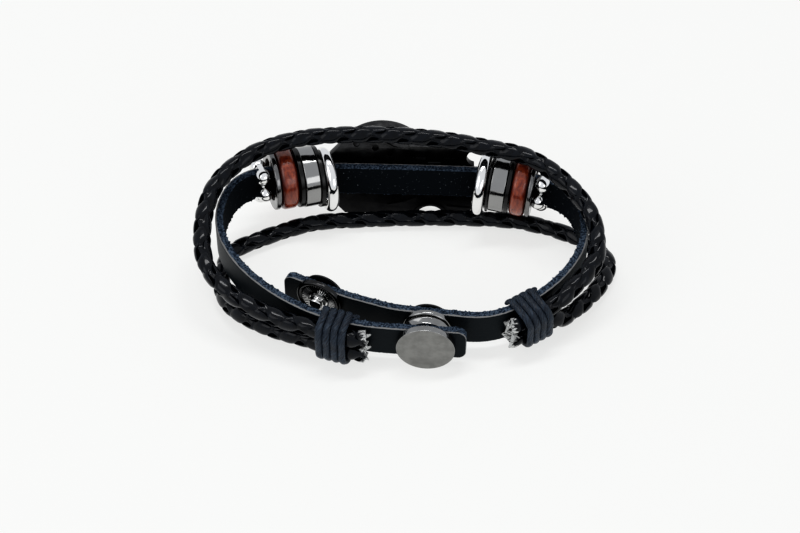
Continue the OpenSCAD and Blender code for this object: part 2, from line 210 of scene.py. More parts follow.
def on_strap(s):
    """Matrix of the place s along the strap: X along it, Y out of the loop, Z up."""
    x, y, heading = STRAP_START
    for length, turn in STRAP_RUN:
        part = min(s, length)
        angle = math.radians(heading)
        if turn == 0:
            x += part * math.cos(angle)
            y += part * math.sin(angle)
        else:
            radius = length / math.radians(turn)
            after = angle - part / radius
            x += radius * (math.sin(angle) - math.sin(after))
            y -= radius * (math.cos(angle) - math.cos(after))
            heading -= math.degrees(part / radius)
        s -= part
        if s <= 0:
            break
    turned = Matrix.Rotation(math.radians(heading), 4, "Z")
    return strap_plane @ Matrix.Translation((x, y, 0)) @ turned


def round_outline(s, up):
    """Draws the flat strap's square ends in to round ones."""
    past = abs(up) - (STRAP_HEIGHT / 2 - STRAP_END_ROUND)
    if past <= 0:
        return s
    inset = STRAP_END_ROUND - math.sqrt(max(0.0, STRAP_END_ROUND ** 2 - past ** 2))
    for end, way in ((0.0, 1), (STRAP_LENGTH, -1)):
        from_end = abs(s - end)
        if from_end < 2 * STRAP_END_ROUND:
            return s + way * inset * (1 - from_end / (2 * STRAP_END_ROUND))
    return s


bm = bmesh.new()
bmesh.ops.create_grid(bm, x_segments=8, y_segments=14, size=0.5)
bmesh.ops.scale(bm, verts=bm.verts, vec=(STRAP_THICK, STRAP_HEIGHT, 1))
bmesh.ops.rotate(bm, verts=bm.verts, matrix=Matrix(((0, 0, 1), (1, 0, 0), (0, 1, 0))))
drawn = bmesh.ops.extrude_face_region(bm, geom=bm.faces[:])
bmesh.ops.translate(bm, verts=[v for v in drawn["geom"] if isinstance(v, bmesh.types.BMVert)],
                    vec=(STRAP_LENGTH, 0, 0))
bmesh.ops.recalc_face_normals(bm, faces=bm.faces)
corners = [e for e in bm.edges if e.calc_length() > 100
           and abs(e.verts[0].co.y) > STRAP_THICK * 0.49 and abs(e.verts[0].co.z) > STRAP_HEIGHT * 0.49]
bmesh.ops.bevel(bm, geom=corners, offset=STRAP_CORNER, offset_type="OFFSET", segments=2, profile=0.5,
                affect="EDGES", material=-1)
long_edges = [e for e in bm.edges if e.calc_length() > 100]
bmesh.ops.subdivide_edges(bm, edges=long_edges, cuts=STRAP_CUTS, use_grid_fill=True)
cut_place = bm.verts.layers.float_vector.new("own")
places = {}
for v in bm.verts:
    s, out, up = v.co
    v[cut_place] = (s, out, up)
    edge = max(0.0, 1 - (STRAP_HEIGHT / 2 - abs(up)) / NAP_EDGE_WIDE)
    flesh = max(0.0, 1 - (out + STRAP_THICK / 2) / NAP_FLESH_DEEP)
    tuft = noise.noise(Vector((s * TUFTS_PER_MM, out * TUFTS_PER_MM, up * 0.5)))
    thread = noise.noise(Vector((s * THREADS_PER_MM, out * 4 + 7, up * 0.5)))
    up += math.copysign(NAP_HEIGHT * edge * (tuft + 0.5 * thread), up)
    out -= NAP_RAGGED * flesh * edge * max(0.0, tuft + 0.7 * thread)
    s = round_outline(s, up)
    key = round(s, 3)
    if key not in places:
        places[key] = on_strap(s)
    v.co = places[key] @ Vector((0, out, up))


def group_tree(name, inputs, outputs):
    """An empty node group with those sockets: names and kinds."""
    made = bpy.data.node_groups.new(name, "ShaderNodeTree")
    for side, sockets in (("INPUT", inputs), ("OUTPUT", outputs)):
        for socket, kind in sockets.items():
            made.interface.new_socket(socket, in_out=side, socket_type="NodeSocket" + kind)
    return made, made.nodes.new("NodeGroupInput"), made.nodes.new("NodeGroupOutput")


# Clouding: soft patches of a given size in millimetres, as a mask from 0 to 1
clouding, asked, given = group_tree(
    "clouding", {"Place": "Vector", "Size": "Float", "From": "Float", "To": "Float"}, {"Mask": "Float"})
cloud = put(clouding, "TexNoise", Vector=asked.outputs["Place"], Detail=4.0, Roughness=0.6,
            Scale=calc(clouding, "DIVIDE", 1.0, asked.outputs["Size"]))
feed(clouding, given.inputs["Mask"],
     ease(clouding, cloud.outputs[0], asked.outputs["From"], asked.outputs["To"]))

# Tooth: fine roughness of a surface, of a given grain and height in millimetres
tooth, asked, given = group_tree(
    "tooth", {"Place": "Vector", "Grain": "Float", "Height": "Float"}, {"Normal": "Vector"})
grit = put(tooth, "TexNoise", Vector=asked.outputs["Place"], Detail=3.0, Roughness=0.65,
           Scale=calc(tooth, "DIVIDE", 1.0, asked.outputs["Grain"]))
bump = put(tooth, "Bump", Height=grit.outputs[0],
           Distance=calc(tooth, "MULTIPLY", asked.outputs["Height"], MM))
feed(tooth, given.inputs["Normal"], bump.outputs[0])


def use(tree, group, **sockets):
    """Places a node group; returns its first output."""
    made = put(tree, "Group", {"node_tree": group})
    for name, value in sockets.items():
        feed(tree, made.inputs[name], value)
    return made.outputs[0]


def own_place(tree):
    """The piece's own millimetres, kept from before it was put in place."""
    return put(tree, "Attribute", {"attribute_name": "own"}).outputs["Vector"]


GRAIN_COLOUR = (0.0075, 0.0125, 0.0165, 1)
FLESH_COLOUR = (0.006, 0.0095, 0.0135, 1)
FLUFF_COLOUR = (0.42, 0.45, 0.48, 1)
NAP_DARK = (0.012, 0.02, 0.034, 1)
NAP_LIGHT = (0.15, 0.2, 0.27, 1)
# The last colour is a painted highlight: the light line along the grain-side corner of the cut edges.
PAINTED_EDGE_HIGHLIGHT = (0.36, 0.36, 0.36, 1)

strap_leather, tree, shader = new_material("strap_leather", Specular_IOR_Level=0.13)
own = own_place(tree)
along, outward, upward = put(tree, "SeparateXYZ", Vector=own).outputs
side_cut = ease(tree, calc(tree, "ABSOLUTE", upward), STRAP_HEIGHT / 2 - 0.12, STRAP_HEIGHT / 2 - 0.04)
end_cut = ease(tree, calc(tree, "ABSOLUTE", calc(tree, "SUBTRACT", along, STRAP_LENGTH / 2)),
               STRAP_LENGTH / 2 - 0.14, STRAP_LENGTH / 2 - 0.04)
cut = calc(tree, "MAXIMUM", side_cut, end_cut)
flesh = ease(tree, outward, -STRAP_THICK / 2 + 0.1, -STRAP_THICK / 2 + 0.02)
wander = use(tree, clouding, Place=own, Size=0.8, From=0.3, To=0.7)
# Painted highlight: a light grey line along the grain-side corner of the cut edges, where the rounded
# corner catches the light. Its inner border wanders a little.
line_at = calc(tree, "ADD", outward, calc(tree, "MULTIPLY", wander, 0.14))
edge_highlight_share = calc(tree, "MULTIPLY", cut, ease(tree, line_at, STRAP_THICK / 2 - 0.24, STRAP_THICK / 2 - 0.16))
fluff = use(tree, clouding, Place=own, Size=0.3, From=0.68, To=0.72)
flesh_colour = blend_colours(tree, fluff, FLESH_COLOUR, FLUFF_COLOUR)
faces_colour = blend_colours(tree, flesh, GRAIN_COLOUR, flesh_colour)
nap = use(tree, clouding, Place=own, Size=0.3, From=0.38, To=0.66)
nap_colour = blend_colours(tree, nap, NAP_DARK, NAP_LIGHT)
edge_colour = blend_colours(tree, edge_highlight_share, nap_colour, PAINTED_EDGE_HIGHLIGHT)
feed(tree, shader.inputs["Base Color"], blend_colours(tree, cut, faces_colour, edge_colour))
rough = calc(tree, "MAXIMUM", cut, flesh)
feed(tree, shader.inputs["Roughness"], ease(tree, rough, 0.0, 1.0, 0.42, 0.95))
grain = use(tree, tooth, Place=own, Grain=0.35, Height=0.03)
feed(tree, shader.inputs["Normal"], grain)

finish_piece(bm, "leather_strap", [strap_leather], ["strap"], crease=80)


# Braided cords. Each is a round braid of four flat strands of coated leather, two of
# them winding to the left and two to the right. Both leave the left wrap, go round
# the back and into the right one, and are cut off just past the wraps.
BRAID_THICK = 3.1
# Distance along the braid from one leaf of a strand to its next
LEAF = 5.4
STRAND_WIDE = 2.7
STRAND_NARROW = 2.45
STRAND_THICK = 0.6
STRAND_MIDDLE = 0.93
STRAND_SWING = 0.27
STRAND_SWAY = 0.4
STRAND_DIVE = 2.6
STRAND_CROWN = 0.4
STRAND_CROWN_POWER = 2.6
STRAND_SQUARE = 0.8
STRAND_CORNERS = 16
END_FLARE = 0.22
END_FLARE_LONG = 1.6
BRAID_STEP = 0.3
BRAID_CLEAR = 0.12
# Each wrap's place along the strap and the height of the lower braid in it, and the
# places along the strap where the braids' ends lie
WRAP_ON_STRAP = {"left": (21.8, -1.55), "right": (156.5, -1.8)}
BRAID_ENDS = {"left": (16.7, 19, 22.5, 26), "right": (153.6, 156.6, 159.6, 160.7)}
BRAID_OUT = STRAP_THICK / 2 + BRAID_CLEAR + BRAID_THICK / 2
BRAID_RISE = BRAID_THICK + 0.06
# Roll of each braid at its start, middle and end, and its route between the wraps
UPPER_ROLLS = (42, 71, -3)
LOWER_ROLLS = (42, 0, -3)
UPPER_ROUTE = [
    (-22.5, -16.7, 7.2), (-29.5, -13, 8.5), (-34.5, -7.2, 10.5), (-35.5, 0.8, 13),
    (-33.5, 8.6, 15.5), (-27.8, 14.4, 17.4), (-20, 17.4, 18.5), (-11.5, 18.3, 18.9),
    (-3, 18.4, 18.8), (5.5, 17.6, 18.5), (13.5, 16.1, 17.9), (21.5, 13.8, 17.3),
    (27.9, 8.8, 15.6), (32.2, 2, 13.4), (32.5, -5.7, 11), (28, -11.7, 9),
]
LOWER_ROUTE = [
    (-23, -15.2, 3), (-28.3, -11.2, 2.5), (-31.5, -6.7, 2), (-32.8, -0.2, 1.6),
    (-31.5, 5.8, 1.6), (-27.5, 9.3, 1.6), (-17.5, 14.2, 1.6), (-7.5, 15.4, 1.6),
    (2.5, 15.8, 1.6), (12.5, 15.7, 1.6), (21.5, 14.5, 1.6), (30, 10.7, 1.6),
    (34.8, 5.8, 1.6), (35.4, 1.3, 1.6), (32.5, -5.2, 2), (27.2, -11.7, 2.5),
]


def beside_strap(side, level):
    """Where a braid lies against the strap at a wrap; level 0 is the lower braid."""
    up = WRAP_ON_STRAP[side][1] + level * BRAID_RISE
    return [on_strap(s) @ Vector((0, BRAID_OUT, up)) for s in BRAID_ENDS[side]]


def smooth_line(points, step):
    """Places a step apart on a smooth curve through the points: the place, and how far
    along it is."""
    points = [Vector(p) for p in points]
    fine = 24
    dense = []
    for i in range(len(points) - 1):
        b, c = points[i], points[i + 1]
        a = points[i - 1] if i > 0 else 2 * b - c
        d = points[i + 2] if i + 2 < len(points) else 2 * c - b
        for k in range(fine):
            t = k / fine
            dense.append(0.5 * (2 * b + (c - a) * t + (2 * a - 5 * b + 4 * c - d) * t ** 2
                                + (3 * b - a - 3 * c + d) * t ** 3))
    dense.append(points[-1])
    far = [0.0]
    for p, q in zip(dense, dense[1:]):
        far.append(far[-1] + (q - p).length)
    count = round(far[-1] / step)
    line, i = [], 0
    for n in range(count + 1):
        want = far[-1] * n / count
        while i < len(dense) - 2 and far[i + 1] < want:
            i += 1
        share = (want - far[i]) / (far[i + 1] - far[i])
        line.append((dense[i].lerp(dense[i + 1], share), want))
    return line


def axes_along(line, rolls):
    """Matrix of each place on a line: X to its side, Y up, Z along it, and rolled by
    those degrees at its start, middle and end."""
    places = [place for place, far in line]
    start, middle, end = rolls
    made = []
    for i, place in enumerate(places):
        t = i / (len(places) - 1)
        roll = start + (4 * middle - 3 * start - end) * t + 2 * (start + end - 2 * middle) * t ** 2
        ahead = (places[min(i + 1, len(places) - 1)] - places[max(i - 1, 0)]).normalized()
        side = ahead.cross(Vector((0, 0, 1))).normalized()
        above = side.cross(ahead)
        turned = Matrix((side, above, ahead)).transposed().to_4x4()
        made.append(Matrix.Translation(place) @ turned @ Matrix.Rotation(math.radians(roll), 4, "Z"))
    return made


def draw_out(count, stations, form):
    """Draws a closed ring of that many corners through the stations, and caps its ends.
    form(i, angle) gives a corner's place in station i's axes, and its own place for the
    material."""
    bm = bmesh.new()
    angle_of = bm.verts.layers.float.new("angle")
    own_of = bm.verts.layers.float_vector.new("own")
    ring = bmesh.ops.create_circle(bm, cap_ends=False, segments=count, radius=1)["verts"]
    for v in ring:
        v[angle_of] = math.atan2(v.co.y, v.co.x)
    first = edges = bm.edges[:]
    for i, station in enumerate(stations):
        if i:
            drawn = bmesh.ops.extrude_edge_only(bm, edges=edges)["geom"]
            ring = [v for v in drawn if isinstance(v, bmesh.types.BMVert)]
            edges = [e for e in drawn if isinstance(e, bmesh.types.BMEdge)]
        for v in ring:
            place, own = form(i, v[angle_of])
            v.co = station @ place
            v[own_of] = own
    for loop in (first, edges):
        bmesh.ops.edgeloop_fill(bm, edges=loop)
    return bm


def strand(route_axes, far, start, way, half_turn):
    """One strand of a braid, as a bmesh. It winds to the side that way says, and comes to
    the outside every half turn."""
    middles = []
    for i, axes in enumerate(route_axes):
        over = 2 * math.pi * far[i] / LEAF + half_turn
        swing = math.tanh(STRAND_DIVE * math.cos(over)) / math.tanh(STRAND_DIVE)
        angle = start + way * (math.pi * far[i] / LEAF - STRAND_SWAY * math.sin(over))
        out = Vector((math.cos(angle), math.sin(angle), 0))
        from_end = min(far[i] - far[0], far[-1] - far[i])
        flare = 1 + END_FLARE * max(0.0, 1 - from_end / END_FLARE_LONG)
        middles.append((axes @ (out * flare * (STRAND_MIDDLE + STRAND_SWING * swing)),
                        axes.to_3x3() @ out, swing))
    stations, swings = [], []
    for i, (place, out, swing) in enumerate(middles):
        ahead = (middles[min(i + 1, len(middles) - 1)][0] - middles[max(i - 1, 0)][0]).normalized()
        across = ahead.cross(out).normalized()
        outward = across.cross(ahead)
        turned = Matrix((across, outward, ahead)).transposed().to_4x4()
        stations.append(Matrix.Translation(place) @ turned)
        swings.append(swing)

    def form(i, angle):
        outside = (1 + swings[i]) / 2
        width = STRAND_NARROW + (STRAND_WIDE - STRAND_NARROW) * outside
        x = math.copysign(abs(math.cos(angle)) ** STRAND_SQUARE, math.cos(angle)) * width / 2
        y = math.copysign(abs(math.sin(angle)) ** STRAND_SQUARE, math.sin(angle)) * STRAND_THICK / 2
        crown = STRAND_CROWN * (0.3 + 0.7 * outside)
        y -= crown * abs(2 * x / STRAND_WIDE) ** STRAND_CROWN_POWER
        from_end = min(far[i] - far[0], far[-1] - far[i])
        return Vector((x, y, 0)), (far[i], x + 10 * start, from_end)

    return draw_out(STRAND_CORNERS, stations, form)


def braid(name, node, route, level, rolls):
    """Four strands along a route, two winding each way, rolled as axes_along says."""
    points = beside_strap("left", level) + list(route) + beside_strap("right", level)
    line = smooth_line(points, BRAID_STEP)
    axes = axes_along(line, rolls)
    far = [distance for place, distance in line]
    whole = bmesh.new()
    whole.verts.layers.float_vector.new("own")
    for number in range(4):
        way = 1 if number % 2 == 0 else -1
        start = math.pi * (number // 2) + math.pi / 4
        half_turn = 0 if way > 0 else math.pi
        part = strand(axes, far, start, way, half_turn)
        loose = bpy.data.meshes.new("strand")
        part.to_mesh(loose)
        part.free()
        whole.from_mesh(loose)
        bpy.data.meshes.remove(loose)
    bmesh.ops.recalc_face_normals(whole, faces=whole.faces)
    finish_piece(whole, name, [braid_leather], [node], crease=60)


BRAID_COLOUR = (0.002, 0.0032, 0.006, 1)
BRAID_WORN = (0.005, 0.008, 0.014, 1)
FIBRE_WHITE = (0.75, 0.76, 0.75, 1)
braid_leather, tree, shader = new_material("braid_leather", Specular_IOR_Level=0.12,
                                           Coat_Weight=0.45, Coat_Roughness=0.05)
own = own_place(tree)
along, across, from_end = put(tree, "SeparateXYZ", Vector=own).outputs
shade = use(tree, clouding, Place=own, Size=1.2, From=0.35, To=0.7)
leather = blend_colours(tree, shade, BRAID_COLOUR, BRAID_WORN)
fray_place = put(tree, "Mapping", Vector=own, Scale=(0.6, 3.0, 0.6)).outputs[0]
fray = use(tree, clouding, Place=fray_place, Size=0.7, From=0.35, To=0.65)
ragged = calc(tree, "ADD", from_end, calc(tree, "MULTIPLY", fray, 1.1))
bared = ease(tree, ragged, 1.05, 0.9)
feed(tree, shader.inputs["Base Color"], blend_colours(tree, bared, leather, FIBRE_WHITE))
roughness = ease(tree, shade, 0.0, 1.0, 0.22, 0.36)
feed(tree, shader.inputs["Roughness"], calc(tree, "MAXIMUM", roughness, bared))
feed(tree, shader.inputs["Normal"], use(tree, tooth, Place=own, Grain=0.25, Height=0.012))

braid("upper_braid", "braid_upper", UPPER_ROUTE, 1, UPPER_ROLLS)
braid("lower_braid", "braid_lower", LOWER_ROUTE, 0, LOWER_ROLLS)


# Wraps. At each side of the snap a waxed cord is wound four times round the strap and
# both braids, turn beside turn, and its ends are tucked in behind. The cord is laid
# up from three yarns, which show as fine slanting ribs.
CORD_WIDE = 1.3
CORD_FLAT = 0.86
WRAP_TURNS = 4
WRAP_PITCH = CORD_WIDE + 0.06
CORD_LIFT = CORD_FLAT / 2 + 0.11
YARN_LAY = 2.2
YARNS = 3
YARN_RELIEF = 0.09
CORD_CORNERS = 24
TURN_STEPS = 72


def wrapped_round(side):
    """What the cord lies on, seen along the strap: (out, up, radius) of each round thing
    or corner."""
    low = WRAP_ON_STRAP[side][1]
    return [(BRAID_OUT, low, BRAID_THICK / 2), (BRAID_OUT, low + BRAID_RISE, BRAID_THICK / 2)] + [
        (out * STRAP_THICK / 2, up * STRAP_HEIGHT / 2, 0.12 if out < 0 else 0.0)
        for out in (-1, 1) for up in (-1, 1)]


def wrap(side):
    """The cord, drawn out round the strap and the braids, turn beside turn."""
    things = wrapped_round(side)
    stations, lengths = [], []
    axes = on_strap(WRAP_ON_STRAP[side][0])
    for i in range(WRAP_TURNS * TURN_STEPS + 1):
        angle = math.pi + 2 * math.pi * i / TURN_STEPS
        cos, sin = math.cos(angle), math.sin(angle)
        out, up, radius = max(things, key=lambda t: t[0] * cos + t[1] * sin + t[2])
        x = WRAP_PITCH * (i / TURN_STEPS - WRAP_TURNS / 2)
        middle = Vector((x, out + (radius + CORD_LIFT) * cos, up + (radius + CORD_LIFT) * sin))
        turned = Matrix(((1, 0, 0), (0, cos, sin), (0, -sin, cos))).transposed().to_4x4()
        lengths.append(lengths[-1] + (middle - last).length if i else 0.0)
        last = middle
        stations.append(axes @ Matrix.Translation(middle) @ turned)

    def form(i, angle):
        yarn = abs(math.cos(YARNS * angle / 2 - math.pi * lengths[i] / YARN_LAY))
        rib = 1 + YARN_RELIEF * yarn - 0.05
        x = CORD_WIDE / 2 * math.cos(angle) * rib
        y = CORD_FLAT / 2 * math.sin(angle) * rib
        return Vector((x, y, 0)), (lengths[i], angle, x)

    bm = draw_out(CORD_CORNERS, stations, form)
    bmesh.ops.recalc_face_normals(bm, faces=bm.faces)
    finish_piece(bm, "cord_wrap_" + side, [waxed_cord], ["wrap_" + side], crease=70)


CORD_COLOUR = (0.01, 0.015, 0.026, 1)
CORD_LIGHT = (0.055, 0.08, 0.115, 1)
waxed_cord, tree, shader = new_material("waxed_cord", Specular_IOR_Level=0.4)
own = own_place(tree)
along, around, sideways = put(tree, "SeparateXYZ", Vector=own).outputs
lay = calc(tree, "SUBTRACT", calc(tree, "MULTIPLY", around, float(YARNS)),
           calc(tree, "MULTIPLY", along, 2 * math.pi / YARN_LAY))
fibre_place = put(tree, "CombineXYZ", X=calc(tree, "MULTIPLY", lay, 2.2),
                  Y=calc(tree, "MULTIPLY", along, 0.5), Z=sideways).outputs[0]
fibres = use(tree, clouding, Place=fibre_place, Size=1.0, From=0.4, To=0.62)
feed(tree, shader.inputs["Base Color"], blend_colours(tree, fibres, CORD_COLOUR, CORD_LIGHT))
feed(tree, shader.inputs["Roughness"], ease(tree, fibres, 0.0, 1.0, 0.25, 0.45))
fibre_bump = put(tree, "Bump", Height=fibres, Distance=0.00004)
feed(tree, shader.inputs["Normal"], fibre_bump.outputs[0])

wrap("left")
wrap("right")


# Snap fastener. A plain plated cap and a socket are pressed together through the
# strap's first end; the stud that clicks into the socket is riveted through the
# strap behind, and a second stud on the tail fits a smaller wrist. All are turned.
CAP_AT = 6.8
CAP_WIDE = 10.0
CAP_THICK = 1.3
CAP_BACK_ROUND = 0.32
CAP_FRONT_ROUND = 0.1
SOCKET_WIDE = 8.3
SOCKET_THICK = 1.15
SOCKET_BORE = 1.7
SOCKET_NECK = 2.05
STUD_WIDE = 8.4
STUD_HIGH = 2.2
STUD_PLATE = 0.56
STUD_RIM_ROUND = 0.4
STUD_HEAD_ROUND = 0.42
KNOB_RADIUS = 1.6
POST_RADIUS = 0.8
SPOKES = 44
RIVET_WIDE = 7.4
# Each stud's place along the strap and its height above the middle of it
STUDS_AT = {"snap": (173.75, 0.0), "spare": (192.9, 0.8)}
SEAT = STRAP_THICK / 2 + 0.05
FACE_OUT = Matrix.Rotation(math.radians(-90), 4, "X")


def arc(middle, radius, start, end, steps=6):
    """Points of a round stretch of a profile, angles in degrees."""
    angles = [math.radians(start + (end - start) * k / steps) for k in range(steps + 1)]
    return [(middle[0] + radius * math.cos(a), middle[1] + radius * math.sin(a)) for a in angles]


def turn_profile(profile, steps=96):
    """A lathe: a closed profile of (radius, height) points, spun round Z."""
    bm = bmesh.new()
    corners = [bm.verts.new((radius, 0, height)) for radius, height in profile]
    closed = profile[0][0] > 0
    edges = [bm.edges.new(pair) for pair in zip(corners, corners[1:])]
    if closed:
        edges.append(bm.edges.new((corners[-1], corners[0])))
    bmesh.ops.spin(bm, geom=corners + edges, cent=(0, 0, 0), axis=(0, 0, 1),
                   angle=2 * math.pi, steps=steps, use_merge=True)
    bmesh.ops.remove_doubles(bm, verts=bm.verts, dist=0.0005)
    bmesh.ops.recalc_face_normals(bm, faces=bm.faces)
    return bm


def seat_piece(bm, place):
    """Keeps the piece's own millimetres for its material, and puts it in its place."""
    own_layer = bm.verts.layers.float_vector.get("own") or bm.verts.layers.float_vector.new("own")
    for v in bm.verts:
        v[own_layer] = v.co
    bmesh.ops.transform(bm, matrix=place, verts=bm.verts)


def plated(name, colour, rough_low, rough_high, patch=1.5, tint=0.8):
    """Plated metal: patches slightly darker and rougher where it has been handled."""
    material, tree, shader = new_material(name, Metallic=1.0)
    own = own_place(tree)
    wear_and_painted_light = use(tree, clouding, Place=own, Size=patch, From=0.3, To=0.72)
    darker = tuple(tint * c for c in colour) + (1,)
    feed(tree, shader.inputs["Base Color"], blend_colours(tree, wear_and_painted_light, colour + (1,), darker))
    feed(tree, shader.inputs["Roughness"], ease(tree, wear_and_painted_light, 0.0, 1.0, rough_low, rough_high))
    feed(tree, shader.inputs["Normal"], use(tree, tooth, Place=own, Grain=patch / 2, Height=0.004))
    return material


cap_metal = plated("cap_metal", (0.3, 0.3, 0.29), 0.28, 0.36, patch=2.2, tint=0.78)
rim_metal = plated("rim_metal", (0.34, 0.34, 0.335), 0.1, 0.16)
dark_nickel = plated("dark_nickel", (0.06, 0.06, 0.061), 0.12, 0.2)
bright_nickel = plated("bright_nickel", (0.8, 0.8, 0.79), 0.08, 0.14)

# Cap: a nearly flat face with a crisp edge, and a wall rounded under at the back
r = CAP_WIDE / 2
front = SEAT + CAP_THICK
cap = turn_profile(
    [(0, SEAT), (r - 0.35, SEAT)]
    + arc((r - CAP_BACK_ROUND, SEAT + CAP_BACK_ROUND), CAP_BACK_ROUND, -80, 0, 8)
    + arc((r - CAP_FRONT_ROUND, front - CAP_FRONT_ROUND), CAP_FRONT_ROUND, 0, 84, 5)
    + [(r * 0.6, front + 0.02), (0, front + 0.04)])
for face in cap.faces:
    middle = face.calc_center_median()
    if middle.z < front - 0.02 or middle.xy.length > r - CAP_FRONT_ROUND:
        face.material_index = 1
seat_piece(cap, on_strap(CAP_AT) @ FACE_OUT)
finish_piece(cap, "snap_cap_piece", [cap_metal, rim_metal], ["snap_cap"])

# Socket: a flange with a rounded rim, and a neck through the leather
top = -SEAT
r = SOCKET_WIDE / 2
bottom = top - SOCKET_THICK
socket = turn_profile(
    [(SOCKET_BORE, bottom + 0.05), (SOCKET_BORE + 0.1, bottom), (r - 0.3, bottom)]
    + arc((r - 0.22, bottom + 0.22), 0.22, -90, 40, 6)
    + [(r - 0.5, top - 0.2), (r - 0.5, top), (SOCKET_NECK, top),
       (SOCKET_NECK, -top - 0.1), (SOCKET_BORE, -top - 0.1)])
seat_piece(socket, on_strap(CAP_AT) @ FACE_OUT)
finish_piece(socket, "snap_socket_piece", [rim_metal], ["snap_socket"])


def stud(name, material, spokes):
    """A plate with a raised rim, that many fine bright spokes on it, and a stepped,
    brighter knob in the middle with a round head."""
    s, up = STUDS_AT[name]
    r = STUD_WIDE / 2
    tip = STRAP_THICK / 2 + STUD_HIGH
    plate = SEAT + STUD_PLATE
    bore = POST_RADIUS + 0.1
    bm = turn_profile(
        [(0, tip), (0.5, tip - 0.04)] + arc((0.8, tip - STUD_HEAD_ROUND), STUD_HEAD_ROUND, 75, -60, 8)
        + [(0.98, tip - 0.9), (1.45, tip - 1.0), (1.5, plate + 0.06), (1.7, plate), (r - 0.85, plate)]
        + arc((r - STUD_RIM_ROUND, SEAT + 0.45), STUD_RIM_ROUND, 150, 0, 10)
        + [(r, SEAT), (bore, SEAT), (bore, tip - 0.6), (0, tip - 0.6)])
    for number in range(spokes):
        spoke = bmesh.ops.create_cube(bm, size=1)["verts"]
        bmesh.ops.scale(bm, verts=spoke, vec=(1.1, 0.12, 0.16))
        bmesh.ops.translate(bm, verts=spoke, vec=(2.55, 0, plate + 0.01))
        turned = Matrix.Rotation(2 * math.pi * number / spokes, 3, "Z")
        bmesh.ops.rotate(bm, verts=spoke, matrix=turned)
        for face in {face for v in spoke for face in v.link_faces}:
            face.material_index = 1
    for face in bm.faces:
        if face.calc_center_median().xy.length < KNOB_RADIUS:
            face.material_index = 1
    seat_piece(bm, on_strap(s) @ Matrix.Translation((0, 0, up)) @ FACE_OUT)
    node = {"snap": "snap_stud", "spare": "spare_stud"}[name]
    finish_piece(bm, node + "_piece", [material, bright_nickel], [node])


def rivet(name):
    """The washer on the inside of the leather, with its post."""
    s, up = STUDS_AT[name]
    r = RIVET_WIDE / 2
    top = -SEAT
    post = STRAP_THICK / 2 + STUD_HIGH - 0.8
    bm = turn_profile(
        [(0, top - 0.74), (1.2, top - 0.72), (2.2, top - 0.62), (r - 0.7, top - 0.46)]
        + arc((r - 0.2, top - 0.2), 0.2, -70, 0, 5)
        + [(r, top), (POST_RADIUS, top), (POST_RADIUS, post), (0, post)])
    seat_piece(bm, on_strap(s) @ Matrix.Translation((0, 0, up)) @ FACE_OUT)
    node = {"snap": "snap_rivet", "spare": "spare_rivet"}[name]
    finish_piece(bm, node + "_piece", [dark_nickel], [node])


stud("snap", rim_metal, 0)
stud("spare", dark_nickel, SPOKES)
rivet("snap")
rivet("spare")


# Beads. At each side of the back a stack of seven pieces is slipped on the strap: a
# chrome ring, a black spacer, a polished band, a black ring, a turned wooden ring, a
# steel washer and a cast slider, a ring of five balls round a flat sleeve.
BEAD_BORE = 7.7
BAND_BEAD = 11.0
WOOD_BEAD = 11.4
CHROME_RING = 11.8
RING_WIRE = 2.1
RING_OUT = -0.35
RING_SHIFT = -0.26
WOOD_EDGE_ROUND = 1.0
BEAD_STEPS = 128
BEAD_OUT = 0.35
BEAD_PLAY = 0.12
BEAD_TILT = 3
LOBES = 5
LOBE_RADIUS = 1.5
LOBE_UP = 3.0
LOBE_OUT = 2.4
LOBED_WIDE = 3.0
FIRST_LOBE = {"left": 69, "right": 64}
SLIDER_OUT = 0.15
SLIDER_SHIFT = 0.12
SLEEVE_LONG = 7.6
SLEEVE_THICK = 3.2
SLEEVE_WALL = 0.45
SLEEVE_WIDE = 1.0
SLEEVE_PRESSED = 1.73
SLEEVE_ROUND = 0.12
# For each stack: place of the chrome ring, heading of the stack and of its slider, and
# the widths of the pieces from the chrome ring outwards
STACKS = {
    "left": (81.3, 16.5, 23, -1, (RING_WIRE, 0.7, 2.7, 0.8, 3.2, 0.9, LOBED_WIDE)),
    "right": (109.9, -12.5, -26, 1, (RING_WIRE, 0.4, 2.7, 0.7, 2.9, 0.8, LOBED_WIDE)),
}


def bead_place(side, number, out=BEAD_OUT, shift=0.0, slider=False):
    """Matrix of a piece in a stack, its Z pointing along the stack."""
    start, heading, slider_heading, way, widths = STACKS[side]
    far = sum((a + b) / 2 + BEAD_PLAY for a, b in zip(widths[:number], widths[1:number + 1]))
    centre = on_strap(start + way * (far + shift)) @ Vector((0, out, 0))
    turned = (strap_plane.to_3x3().to_4x4()
              @ Matrix.Rotation(math.radians(slider_heading if slider else heading), 4, "Z")
              @ Matrix.Rotation(math.radians(90 + BEAD_TILT), 4, "Y") @ Matrix.Diagonal((1, 1, way, 1)))
    return Matrix.Translation(centre) @ turned


def ring_profile(outer, width, edge, inner=BEAD_BORE / 2):
    """Profile of a ring bead whose outer edges are rounded by that radius."""
    half, far = width / 2, outer / 2
    return ([(inner, -half + 0.1), (inner + 0.1, -half)] + arc((far - edge, -half + edge), edge, -90, 0, 8)
            + arc((far - edge, half - edge), edge, 0, 90, 8) + [(inner + 0.1, half), (inner, half - 0.1)])


def bead(side, kind, number, profile, material, slot, **where):
    """One turned piece of a stack, in its place."""
    bm = turn_profile(profile, BEAD_STEPS)
    seat_piece(bm, bead_place(side, number, **where))
    bmesh.ops.recalc_face_normals(bm, faces=bm.faces)
    finish_piece(bm, kind + "_" + side + "_piece", [material], [kind + "_" + side])


